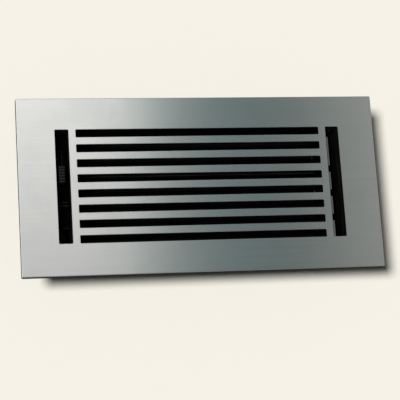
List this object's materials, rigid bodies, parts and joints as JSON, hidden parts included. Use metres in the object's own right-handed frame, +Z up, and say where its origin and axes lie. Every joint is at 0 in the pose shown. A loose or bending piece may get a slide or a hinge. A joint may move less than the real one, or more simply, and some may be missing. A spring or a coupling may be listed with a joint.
{
  "type": "floor register",
  "caption": "Brushed steel floor register: a bar grille plate over a sheet-metal damper whose lapped blades open together when a ribbed thumb pad is slid along the end slot.",
  "frame": {"origin": "middle of the floor plane, which is the underside of the plate's rim", "axes": "+X along the long slots, the thumb pad's end at -X; +Y to the rear; +Z up out of the floor"},
  "size_m": [0.2984, 0.146, 0.059],
  "materials": {
    "brushed_face": "satin steel brushed along its length",
    "black_sheet": "matt black enamel on sheet steel",
    "blade_sheet": "matt black enamel on sheet steel",
    "bulkhead_sheet": "matt black enamel, bare zinc along the top flange",
    "rivet_metal": "plain aluminium",
    "zinc_steel": "zinc plated",
    "spring_steel": "blued spring steel",
    "link_steel": "dark phosphated steel",
    "nylon": "black nylon",
    "pad_plastic": "black moulded plastic with a fine texture"
  },
  "bodies": {
    "frame": {"faceplate": "brushed_face", "side_rail_front": "black_sheet", "side_rail_rear": "black_sheet", "end_cap_left": "black_sheet", "end_cap_right": "black_sheet", "bulkhead_left": "bulkhead_sheet", "bulkhead_right": "bulkhead_sheet", "frame_rivets": "rivet_metal", "face_screws": "zinc_steel", "pivot_bushes": "nylon", "guide_strip": "bulkhead_sheet", "guide_rivets": "rivet_metal"},
    "front_vane": {"front_blade": "blade_sheet", "front_pivot_rod": "link_steel", "front_crank": "link_steel", "front_crank_pin": "link_steel", "front_spring_washer": "spring_steel", "front_rod_retainer": "spring_steel"},
    "middle_vane": {"middle_blade": "blade_sheet", "middle_pivot_rod": "link_steel", "middle_crank": "link_steel", "middle_crank_pin": "link_steel", "middle_spring_washer": "spring_steel", "middle_rod_retainer": "spring_steel"},
    "rear_vane": {"rear_blade": "blade_sheet", "rear_pivot_rod": "link_steel", "rear_crank": "link_steel", "rear_crank_pin": "link_steel", "rear_spring_washer": "spring_steel", "rear_rod_retainer": "spring_steel"},
    "operator": {"tie_bar": "link_steel", "thumb_pad": "pad_plastic"}
  },
  "joints": [
    {"name": "middle_turn", "type": "hinge", "parent": "frame", "child": "middle_vane", "pos_m": [0, 0, -0.034], "axis": [-1, 0, 0], "range_deg": [-13, 77]},
    {"name": "front_turn", "type": "hinge", "parent": "frame", "child": "front_vane", "pos_m": [0, -0.0306, -0.034], "axis": [-1, 0, 0], "range_deg": [-13, 77]},
    {"name": "rear_turn", "type": "hinge", "parent": "frame", "child": "rear_vane", "pos_m": [0, 0.0306, -0.034], "axis": [-1, 0, 0], "range_deg": [-13, 77]},
    {"name": "operator_swing", "type": "hinge", "parent": "middle_vane", "child": "operator", "pos_m": [-0.1138, -0.00742, -0.02213], "axis": [-1, 0, 0], "range_deg": [-77, 13]}
  ],
  "couplings": [
    {"joint": "front_turn", "follows": "middle_turn", "ratio": 1},
    {"joint": "rear_turn", "follows": "middle_turn", "ratio": 1},
    {"joint": "operator_swing", "follows": "middle_turn", "ratio": -1}
  ]
}
